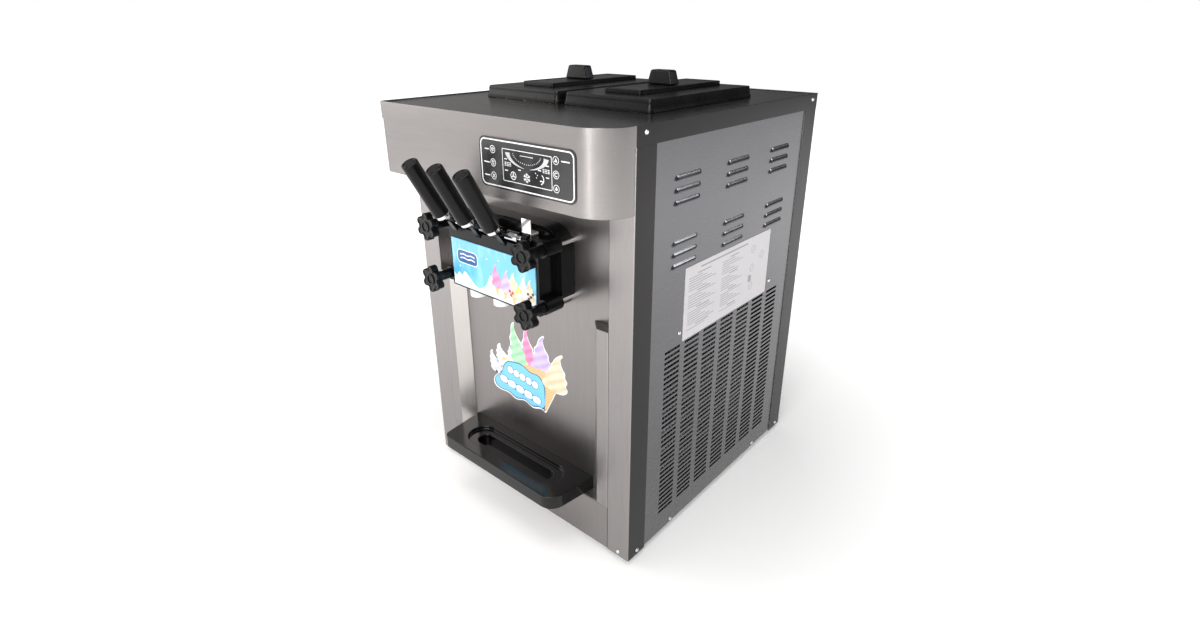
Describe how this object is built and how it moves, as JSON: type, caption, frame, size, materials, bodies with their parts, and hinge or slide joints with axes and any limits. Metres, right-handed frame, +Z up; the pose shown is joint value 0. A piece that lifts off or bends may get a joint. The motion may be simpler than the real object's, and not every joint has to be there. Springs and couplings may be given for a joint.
{
  "type": "soft-serve ice cream maker",
  "caption": "Countertop soft-serve ice cream maker: steel cabinet with bowed hood, draw handles on a dispensing head, star knobs, drip tray, lidded hoppers and vented side panels.",
  "frame": {"origin": "centre of the bounding box in X and Y, at the underside of the rubber feet", "axes": "+X to the right as seen from the front, +Y to the back, +Z up; the handles and the control panel face -Y"},
  "size_m": [0.544, 0.7492, 0.8399],
  "materials": {
    "brushed": "brushed stainless",
    "dark_steel": "dark brushed stainless",
    "bright_steel": "bright stainless",
    "chrome": "polished",
    "panel_film": "printed film",
    "tray_plastic": "glossy moulded",
    "black_plastic": "satin moulded",
    "grip_plastic": "satin",
    "lid_plastic": "satin moulded",
    "white_plastic": "moulded",
    "rubber": "matt",
    "sticker": "printed film",
    "label": "printed sheet",
    "decal": "printed",
    "cast_aluminium": "as cast",
    "fin_aluminium": "bare",
    "cast_iron": "machined",
    "motor_paint": "enamel",
    "black_paint": "enamel"
  },
  "bodies": {
    "cabinet": {"rubber_feet": "rubber", "cabinet_frame": "brushed", "side_panel_left": "dark_steel", "side_panel_right": "dark_steel", "back_panel": "dark_steel", "front_panel": "brushed", "niche_frame": "bright_steel", "bottom_fascia": "brushed", "top_cover": "brushed", "hood": "brushed", "cabinet_screws": "chrome", "control_overlay": "panel_film", "front_sticker": "sticker", "side_label": "label", "head_flange": "black_plastic", "valve_block": "black_plastic", "decal_plate": "decal", "head_studs": "chrome", "pivot_pin": "chrome", "nozzles": "white_plastic", "switch_bracket": "chrome", "hopper_left": "bright_steel", "hopper_right": "bright_steel", "feed_tubes": "bright_steel", "freezing_cylinder_left": "bright_steel", "freezing_cylinder_right": "bright_steel", "gearbox": "cast_aluminium", "belt": "rubber", "drive_motor": "motor_paint", "compressor": "black_paint", "condenser": "fin_aluminium", "fan_motor": "motor_paint"},
    "tray": {"drip_tray": "tray_plastic"},
    "lid_left": {"lid_left": "lid_plastic"},
    "lid_right": {"lid_right": "lid_plastic"},
    "handle_left": {"lever_left": "chrome", "grip_left": "grip_plastic"},
    "handle_middle": {"lever_middle": "chrome", "grip_middle": "grip_plastic"},
    "handle_right": {"lever_right": "chrome", "grip_right": "grip_plastic"},
    "plunger_left": {"plunger_left": "bright_steel"},
    "plunger_middle": {"plunger_middle": "bright_steel"},
    "plunger_right": {"plunger_right": "bright_steel"},
    "knob_upper_left": {"star_knob_upper_left": "black_plastic"},
    "knob_upper_right": {"star_knob_upper_right": "black_plastic"},
    "knob_lower_left": {"star_knob_lower_left": "black_plastic"},
    "knob_lower_right": {"star_knob_lower_right": "black_plastic"},
    "beater_left": {"beater_left": "white_plastic"},
    "beater_right": {"beater_right": "white_plastic"},
    "driven_pulley": {"driven_pulley": "cast_iron"},
    "motor_pulley": {"motor_pulley": "cast_iron"},
    "fan": {"fan_blades": "black_paint"},
    "key_left_top": {"key_left_top": "panel_film"},
    "key_left_middle": {"key_left_middle": "panel_film"},
    "key_left_bottom": {"key_left_bottom": "panel_film"},
    "key_right_top": {"key_right_top": "panel_film"},
    "key_right_middle": {"key_right_middle": "panel_film"},
    "key_right_bottom": {"key_right_bottom": "panel_film"}
  },
  "joints": [
    {"name": "handle_left_pull", "type": "hinge", "parent": "cabinet", "child": "handle_left", "pos_m": [-0.064, -0.26743, 0.6], "axis": [1, 0, 0], "range_deg": [0, 45]},
    {"name": "plunger_left_lift", "type": "slide", "parent": "cabinet", "child": "plunger_left", "axis": [0, 0, 1], "range_m": [0, 0.01685]},
    {"name": "handle_middle_pull", "type": "hinge", "parent": "cabinet", "child": "handle_middle", "pos_m": [0, -0.26743, 0.6], "axis": [1, 0, 0], "range_deg": [0, 45]},
    {"name": "plunger_middle_lift", "type": "slide", "parent": "cabinet", "child": "plunger_middle", "axis": [0, 0, 1], "range_m": [0, 0.01685]},
    {"name": "handle_right_pull", "type": "hinge", "parent": "cabinet", "child": "handle_right", "pos_m": [0.064, -0.26743, 0.6], "axis": [1, 0, 0], "range_deg": [0, 45]},
    {"name": "plunger_right_lift", "type": "slide", "parent": "cabinet", "child": "plunger_right", "axis": [0, 0, 1], "range_m": [0, 0.01685]},
    {"name": "knob_upper_left_turn", "type": "hinge", "parent": "cabinet", "child": "knob_upper_left", "pos_m": [-0.122, -0.30042, 0.587], "axis": [0, -1, 0], "continuous": true},
    {"name": "knob_lower_left_turn", "type": "hinge", "parent": "cabinet", "child": "knob_lower_left", "pos_m": [-0.122, -0.30042, 0.489], "axis": [0, -1, 0], "continuous": true},
    {"name": "knob_upper_right_turn", "type": "hinge", "parent": "cabinet", "child": "knob_upper_right", "pos_m": [0.122, -0.30042, 0.587], "axis": [0, -1, 0], "continuous": true},
    {"name": "knob_lower_right_turn", "type": "hinge", "parent": "cabinet", "child": "knob_lower_right", "pos_m": [0.122, -0.30042, 0.489], "axis": [0, -1, 0], "continuous": true},
    {"name": "tray_pull", "type": "slide", "parent": "cabinet", "child": "tray", "axis": [0, -1, 0], "range_m": [0, 0.11]},
    {"name": "lid_left_lift", "type": "slide", "parent": "cabinet", "child": "lid_left", "axis": [0, 0, 1], "range_m": [0, 0.15]},
    {"name": "lid_right_lift", "type": "slide", "parent": "cabinet", "child": "lid_right", "axis": [0, 0, 1], "range_m": [0, 0.15]},
    {"name": "key_left_top_press", "type": "slide", "parent": "cabinet", "child": "key_left_top", "axis": [0, 1, 0], "range_m": [0, 0.0008], "stiffness_N_per_m": 400},
    {"name": "key_left_middle_press", "type": "slide", "parent": "cabinet", "child": "key_left_middle", "axis": [0, 1, 0], "range_m": [0, 0.0008], "stiffness_N_per_m": 400},
    {"name": "key_left_bottom_press", "type": "slide", "parent": "cabinet", "child": "key_left_bottom", "axis": [0, 1, 0], "range_m": [0, 0.0008], "stiffness_N_per_m": 400},
    {"name": "key_right_top_press", "type": "slide", "parent": "cabinet", "child": "key_right_top", "axis": [0, 1, 0], "range_m": [0, 0.0008], "stiffness_N_per_m": 400},
    {"name": "key_right_middle_press", "type": "slide", "parent": "cabinet", "child": "key_right_middle", "axis": [0, 1, 0], "range_m": [0, 0.0008], "stiffness_N_per_m": 400},
    {"name": "key_right_bottom_press", "type": "slide", "parent": "cabinet", "child": "key_right_bottom", "axis": [0, 1, 0], "range_m": [0, 0.0008], "stiffness_N_per_m": 400},
    {"name": "driven_pulley_spin", "type": "hinge", "parent": "cabinet", "child": "driven_pulley", "pos_m": [0, -0.21543, 0.538], "axis": [0, 1, 0], "continuous": true},
    {"name": "motor_pulley_spin", "type": "hinge", "parent": "cabinet", "child": "motor_pulley", "pos_m": [-0.04, -0.21543, 0.162], "axis": [0, 1, 0], "continuous": true},
    {"name": "beater_left_spin", "type": "hinge", "parent": "cabinet", "child": "beater_left", "pos_m": [-0.062, -0.21543, 0.538], "axis": [0, 1, 0], "continuous": true},
    {"name": "beater_right_spin", "type": "hinge", "parent": "cabinet", "child": "beater_right", "pos_m": [0.062, -0.21543, 0.538], "axis": [0, 1, 0], "continuous": true},
    {"name": "fan_spin", "type": "hinge", "parent": "cabinet", "child": "fan", "pos_m": [0, 0.07458, 0.222], "axis": [1, 0, 0], "continuous": true}
  ],
  "couplings": [
    {"joint": "plunger_left_lift", "follows": "handle_left_pull", "m_per_rad": 0.021418},
    {"joint": "plunger_middle_lift", "follows": "handle_middle_pull", "m_per_rad": 0.021418},
    {"joint": "plunger_right_lift", "follows": "handle_right_pull", "m_per_rad": 0.021418},
    {"joint": "motor_pulley_spin", "follows": "driven_pulley_spin", "ratio": 2.4},
    {"joint": "beater_left_spin", "follows": "driven_pulley_spin", "ratio": 0.125},
    {"joint": "beater_right_spin", "follows": "driven_pulley_spin", "ratio": 0.125}
  ]
}
